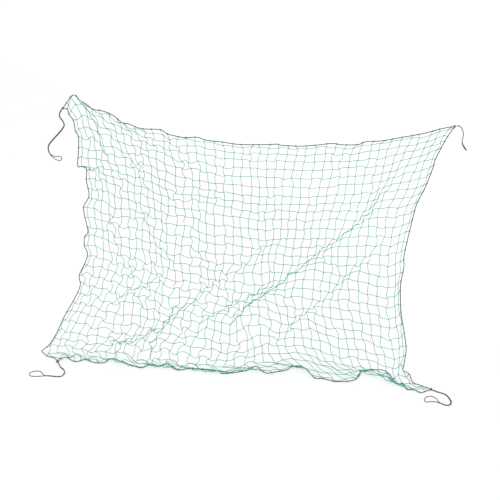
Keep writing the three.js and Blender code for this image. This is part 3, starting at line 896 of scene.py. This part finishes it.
def folded_surface():
    """The hung surface gathered into its folds, and how strongly it is crumpled by them."""
    grid = hung_surface()
    u, v = half_mesh_shares()
    fade = np.clip(np.minimum(np.minimum(u, 1 - u), v) / FOLD_EDGE, 0, 1)
    fade = fade * np.clip((HANGING - v) / FOLD_FOOT, 0, 1)
    crumple = np.max([add_fold(grid, fade, fold) for fold in FOLDS], axis=0)
    keep_above_floor(grid, TWINE)
    return grid, crumple


surface, crumple = folded_surface()

# Where the twine is taut: to the right of a slanting line, less so towards the floor
TAUT_FROM = 0.2
TAUT_SLANT = 0.4
TAUT_SLANT_TO = 0.5
TAUT_SPAN = 0.3
TAUT = 0.4
TAUT_LOW_LOSS = 0.6
TAUT_LOW_SPAN = 0.4

# Where it is slacker than elsewhere: low on the left and in the folds
LOW_FROM = 0.45
LOW_LEFT = 0.5
LOW_LEFT_FROM = 0.35
LOW_LEFT_SPAN = 0.3
LOW_SPAN = 0.3
CRUMPLED = 0.8
CRUMPLED_POWER = 3

# Share of its shift that a knot keeps at a side cord, and how far the cord holds it
HELD_LEAST = 0.3
HELD_SPAN = 0.06

# A strand keeps its own length, so the closer its knots come, the more it bows
STRAND = 0.046
BOW = 1.4
LEAST_BOW = 0.45
MOST_BOW = 1.5
TWINE_STAND = 0.45
TWINE_FULL = 1.1

# How far the knots turn, shift alone and drift with their neighbours, and stand off the sheet
KNOT_TURN = 0.6
KNOT_TURN_SPREAD = 0.6
KNOT_SHIFT = 0.0045
KNOT_DRIFT = 0.0060
DRIFT_PASSES = 3
KNOT_STAND = 0.0050
KNOT_LOWEST = 0.004

# Tubes of twine, and the short stubs from the outer knots to the edge cord
TWINE_SIDES = 5
TWINE_STEPS = 5
STUB_STEPS = 3
STUB_SLANT = 0.30


def spread(shape, size, passes=0):
    """Random offsets, with neighbours that move together the more passes there are."""
    loose = random.normal(0, 1, shape)
    for _ in range(passes):
        for axis in (0, 1):
            loose = 0.5 * loose + 0.25 * (np.roll(loose, 1, axis) + np.roll(loose, -1, axis))
    return size * loose / loose.std()


def slackness(u, v, crumpled):
    """How slack the twine is at each knot, from its place in the net and how crumpled it is there."""
    taut = eased((u - TAUT_FROM - TAUT_SLANT * np.minimum(v, TAUT_SLANT_TO)) / TAUT_SPAN)
    low_loss = TAUT_LOW_LOSS * eased((v - LOW_FROM) / TAUT_LOW_SPAN)
    left = LOW_LEFT * (1 - eased((u - LOW_LEFT_FROM) / LOW_LEFT_SPAN))
    low_left = left * eased((v - LOW_FROM) / LOW_SPAN)
    return 1 - TAUT * taut * (1 - low_loss) + low_left + CRUMPLED * crumpled ** CRUMPLED_POWER


odd_across = np.arange(1, HALF_ACROSS, 2)
odd_down = np.arange(1, HALF_DOWN, 2)
across = surface[odd_across + 1][:, odd_down] - surface[odd_across - 1][:, odd_down]
down = surface[odd_across][:, odd_down + 1] - surface[odd_across][:, odd_down - 1]
normals = unit(np.cross(across, down))
u_share, v_share = np.meshgrid(odd_across / HALF_ACROSS, odd_down / HALF_DOWN, indexing="ij")
slack = slackness(u_share, v_share, crumple[odd_across][:, odd_down])
from_side = np.minimum(u_share, 1 - u_share)
held = HELD_LEAST + (1 - HELD_LEAST) * eased(from_side / HELD_SPAN)
knots = surface[odd_across][:, odd_down].copy()
grid_shape = knots.shape[:2]
for direction in (unit(across), unit(down)):
    shift = spread(grid_shape, KNOT_SHIFT) + spread(grid_shape, KNOT_DRIFT, DRIFT_PASSES)
    knots += direction * (slack * held * shift)[..., None]
knots += normals * (slack * spread(grid_shape, KNOT_STAND))[..., None]
keep_above_floor(knots, KNOT_LOWEST)
chequer = (-1.0) ** np.add.outer(np.arange(MESHES_ACROSS), np.arange(MESHES_DOWN))
turns = KNOT_TURN * chequer + random.normal(0, KNOT_TURN_SPREAD, grid_shape)


def strand_curves(start, end, leave, arrive, steps):
    """Points and tangents of smooth strands from start to end."""
    rows = [row.reshape(-1, 1, 3) for row in (start, end, leave, arrive)]
    return cubic(*rows, np.linspace(0, 1, steps + 1)[:, None])


def add_twine(parts, at, points, tangents):
    """Twine along strands that start at a block of knots."""
    reference = np.repeat(normals[at].reshape(-1, 1, 3), points.shape[1], axis=1)
    parts.tubes(points, tangents, reference, TWINE / 2, TWINE_SIDES)


def turned(chord, at, bow):
    """A strand's run at a knot, turned by the knot and stood off the sheet at random."""
    aside = np.cross(normals[at], chord)
    stand = np.linalg.norm(chord, axis=-1, keepdims=True) * normals[at]
    loose = random.normal(0, TWINE_STAND, turns[at].shape)
    return TWINE_FULL * chord + (bow * turns[at])[..., None] * aside + (bow * loose)[..., None] * stand


def add_strands(parts, first, second):
    """Strands from one block of knots to the block of their neighbours."""
    chord = knots[second] - knots[first]
    length = np.linalg.norm(chord, axis=-1)
    spare = np.maximum(STRAND / length - 1, 0)
    bow = slack[first] * np.clip(BOW * np.sqrt(spare), LEAST_BOW, MOST_BOW)
    leave = turned(chord, first, bow)
    arrive = turned(chord, second, bow)
    points, tangents = strand_curves(knots[first], knots[second], leave, arrive, TWINE_STEPS)
    keep_above_floor(points, TWINE / 2)
    add_twine(parts, first, points, tangents)


# Knots of the twine: half sizes across, down and off the sheet, and how lumpy they are
KNOT_SIZE = (0.0034, 0.0030, 0.0027)
KNOT_LUMP = 0.14
KNOT_MERIDIANS = 6
KNOT_RINGS = 3
KNOT_UV_STEP = 0.001


def add_knots(parts):
    """A lumpy closed knot at every crossing."""
    polar = np.pi * np.arange(1, KNOT_RINGS + 1) / (KNOT_RINGS + 1)
    angle = 2 * np.pi * np.arange(KNOT_MERIDIANS) / KNOT_MERIDIANS
    polar, angle = np.meshgrid(polar, angle, indexing="ij")
    lump = 1 + KNOT_LUMP * np.cos(2 * angle) * np.cos(polar)
    ball = np.stack([
        lump * np.sin(polar) * np.cos(angle),
        lump * np.sin(polar) * np.sin(angle),
        np.cos(polar),
    ], axis=-1).reshape(-1, 3)
    ball = np.vstack([ball, [(0, 0, 1), (0, 0, -1)]]) * KNOT_SIZE
    first = unit(across + turns[..., None] * np.cross(normals, across))
    second = np.cross(normals, first)
    axes = np.stack([first, second, normals], axis=-2).reshape(-1, 3, 3)
    points = knots.reshape(-1, 1, 3) + ball @ axes
    index = np.arange(KNOT_RINGS * KNOT_MERIDIANS).reshape(KNOT_RINGS, KNOT_MERIDIANS)
    beside = np.roll(index, -1, axis=1)
    quads = np.stack([index[:-1], index[1:], beside[1:], beside[:-1]], axis=-1).reshape(-1, 4)
    north, south = index.size, index.size + 1
    caps = [(north, index[0, k], beside[0, k]) for k in range(KNOT_MERIDIANS)]
    caps += [(south, beside[-1, k], index[-1, k]) for k in range(KNOT_MERIDIANS)]
    shift = len(ball) * np.arange(len(points))[:, None, None]
    faces = [(quads + shift).reshape(-1, 4), (np.array(caps) + shift).reshape(-1, 3)]
    corners = sum(block.size for block in faces)
    uvs = np.zeros((corners, 2))
    uvs[:, 1] = KNOT_UV_STEP * np.arange(corners)
    parts.add(points.reshape(-1, 3), faces, [uvs])


def add_stubs(parts, outer, edge):
    """Short strands from the outer knots to an edge of the sheet, and where they meet its cord."""
    odd = np.arange(1, len(edge), 2)
    ahead = edge[odd + 1] - edge[odd - 1]
    start = knots[outer]
    slant = STUB_SLANT * random.uniform(-1, 1, len(start))[:, None]
    end = edge[odd] + slant * ahead
    chord = end - start
    bow = np.full(len(start), LEAST_BOW)
    points, tangents = strand_curves(start, end, turned(chord, outer, bow), chord, STUB_STEPS)
    add_twine(parts, outer, points, tangents)
    return end, unit(ahead)


every = slice(None)
net = Parts()
add_strands(net, (slice(0, -1), every), (slice(1, None), every))
add_strands(net, (every, slice(0, -1)), (every, slice(1, None)))
add_knots(net)
outer_knots = [(every, 0), (every, -1), (0, every), (-1, every)]
hitched = [add_stubs(net, outer, surface[outer]) for outer in outer_knots]

# Edge cords with their nap, and the turns of twine round them.
# No cord runs along the direction that the turns start from
EDGE_CORD = 0.0044
EDGE_STEP = 0.006
KNOT_CLEAR = 0.004
HITCH_STEPS = 8
HITCH_SIDES = 5
HITCH_FROM = (0.3, 1, 0.2)
TWINE_REACH = (EDGE_CORD + TWINE) / 2
EDGE_CORDS = {
    "edge_cord_top": [top_line],
    "edge_cord_left": [left_hanging, left_lying],
    "edge_cord_right": [right_hanging, right_lying],
    "edge_cord_hem": [hem_line],
}


def edge_points(lines, step):
    """Points along an edge cord, from inside the knot at its start to inside the knot at its end."""
    rows = [line.spaced(round(line.length / step))[k > 0 :] for k, line in enumerate(lines)]
    points = np.vstack(rows)
    from_start = np.linalg.norm(points - points[0], axis=1)
    from_end = np.linalg.norm(points - points[-1], axis=1)
    return points[np.minimum(from_start, from_end) > KNOT_CLEAR]


def add_hitches(parts, places, along_cord):
    """Turns of twine tied round the edge cord at the end of every stub."""
    first = unit(np.cross(along_cord, HITCH_FROM))
    second = np.cross(along_cord, first)
    angle = 2 * np.pi * np.arange(HITCH_STEPS + 1) / HITCH_STEPS
    lean = (TWINE / 2) * np.linspace(-1, 1, HITCH_STEPS + 1)[:, None] * along_cord[:, None]
    circle = np.cos(angle)[:, None] * first[:, None] + np.sin(angle)[:, None] * second[:, None]
    tangents = np.cos(angle)[:, None] * second[:, None] - np.sin(angle)[:, None] * first[:, None]
    reference = np.repeat(along_cord[:, None], HITCH_STEPS + 1, axis=1)
    centres = places[:, None] + TWINE_REACH * circle + lean
    keep_above_floor(centres, TWINE / 2)
    parts.tubes(centres, tangents, reference, TWINE / 2, HITCH_SIDES)


hitches = Parts()
for places, along_cord in hitched:
    add_hitches(hitches, places, along_cord)
hitch_piece = hitches.piece("edge_hitches", twine)


def add_edge_cord(name, lines):
    parts = Parts()
    parts.cord(edge_points(lines, EDGE_STEP), EDGE_CORD / 2, CORD_SIDES)
    piece = parts.piece("braided_" + name, elastic)
    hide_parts(name)
    return piece


edge_pieces = [add_edge_cord(name, lines) for name, lines in EDGE_CORDS.items()]

net_piece = net.piece("knotted_net", twine)
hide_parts("net")

# Corner knots: size, depth along the tail, points along the cord.
# No tail leaves along the direction that they start from
KNOT_SCALE = 0.0019
KNOT_DEPTH = 1.3
KNOT_POINTS = 90
KNOT_FROM = (0.2, 0.3, 1)
CORNER_KNOTS = [
    ("corner_knot_top_left", KNOT_TOP_LEFT),
    ("corner_knot_top_right", KNOT_TOP_RIGHT),
    ("corner_knot_hem_left", KNOT_HEM_LEFT),
    ("corner_knot_hem_right", KNOT_HEM_RIGHT),
]


def add_corner_knot(name, centre, towards):
    """Overhand knot of the cord, pulled tight, its axis along the tail."""
    t = np.linspace(0, 2 * np.pi, KNOT_POINTS)
    knot = np.stack([
        np.sin(t) + 2 * np.sin(2 * t),
        np.cos(t) - 2 * np.cos(2 * t),
        -KNOT_DEPTH * np.sin(3 * t),
    ], axis=-1)
    axis = unit(np.array(towards[:3]) - centre)
    first = unit(np.cross(axis, KNOT_FROM))
    axes = np.stack([first, np.cross(axis, first), axis])
    parts = Parts()
    parts.cord(np.array(centre) + KNOT_SCALE * knot @ axes, CORD / 2, CORD_SIDES)
    piece = parts.piece("tied_" + name, elastic)
    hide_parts(name)


for (name, centre), tail in zip(CORNER_KNOTS, TAILS):
    add_corner_knot(name, centre, tail["middle"][0])

# Floor: its pale tones, and its own light, which is a little stronger far behind on the right
WHITE = (1, 1, 1, 1)
FLOOR_HALF = 30
FLOOR_TONES = [(0.3, (0.44, 0.44, 0.44)), (0.7, (0.46, 0.46, 0.46))]
FLOOR_TONE_SCALE = 3
FLOOR_ROUGHNESS = 0.9
FLOOR_GLOSS = 0.1
FLOOR_LIGHT_SLANT = 1.3
FLOOR_LIGHT = {"From Min": 2.0, "From Max": 2.6, "To Min": 0.53, "To Max": 0.60}


def floor_look():
    """White studio floor, with light of its own so that it stays white under the net."""
    look = Look("pale_floor")
    tone = look.ramp(look.noise(FLOOR_TONE_SCALE), *FLOOR_TONES)
    look.set(look.shader, "Base Color", tone)
    look.set(look.shader, "Roughness", FLOOR_ROUGHNESS)
    look.set(look.shader, "Specular IOR Level", FLOOR_GLOSS)
    look.set(look.shader, "Emission Color", WHITE)
    place = look.node("ShaderNodeTexCoord").outputs["Object"]
    split = look.node("ShaderNodeSeparateXYZ", {"Vector": place}).outputs
    far = look.maths("MULTIPLY_ADD", split["X"], FLOOR_LIGHT_SLANT, split["Y"])
    behind = look.node("ShaderNodeMapRange", {"Value": far, **FLOOR_LIGHT})
    look.set(look.shader, "Emission Strength", behind.outputs["Result"])
    return look.material


def add_floor():
    mesh = bpy.data.meshes.new("floor")
    signs = [(-1, -1), (1, -1), (1, 1), (-1, 1)]
    corners = [(x * FLOOR_HALF, y * FLOOR_HALF, FLOOR_Z) for x, y in signs]
    mesh.from_pydata(corners, [], [(0, 1, 2, 3)])
    mesh.materials.append(floor_look())
    floor = bpy.data.objects.new("floor", mesh)
    bpy.context.scene.collection.objects.link(floor)


# Studio light: strength of the white surroundings, and two soft lamps by place and power
WORLD_STRENGTH = 1.0
LAMP_SIZE = 4.0
LAMP_TARGET = (0, 0, -0.5)
LAMPS = [
    ("key", (-2.5, -4.0, 4.0), 60),
    ("fill", (3.5, -3.0, 2.5), 30),
]


def add_lamp(name, place, power):
    data = bpy.data.lights.new(name, "AREA")
    data.shape = "SQUARE"
    data.size = LAMP_SIZE
    data.energy = power
    light = bpy.data.objects.new(name, data)
    light.location = place
    light.rotation_euler = (Vector(LAMP_TARGET) - Vector(place)).to_track_quat("-Z", "Y").to_euler()
    bpy.context.scene.collection.objects.link(light)


def add_world():
    world = bpy.data.worlds.new("studio")
    world.use_nodes = True
    background = world.node_tree.nodes["Background"]
    background.inputs["Color"].default_value = WHITE
    background.inputs["Strength"].default_value = WORLD_STRENGTH
    bpy.context.scene.world = world


add_floor()
add_world()
for lamp in LAMPS:
    add_lamp(*lamp)
bpy.context.scene.view_settings.view_transform = "Standard"
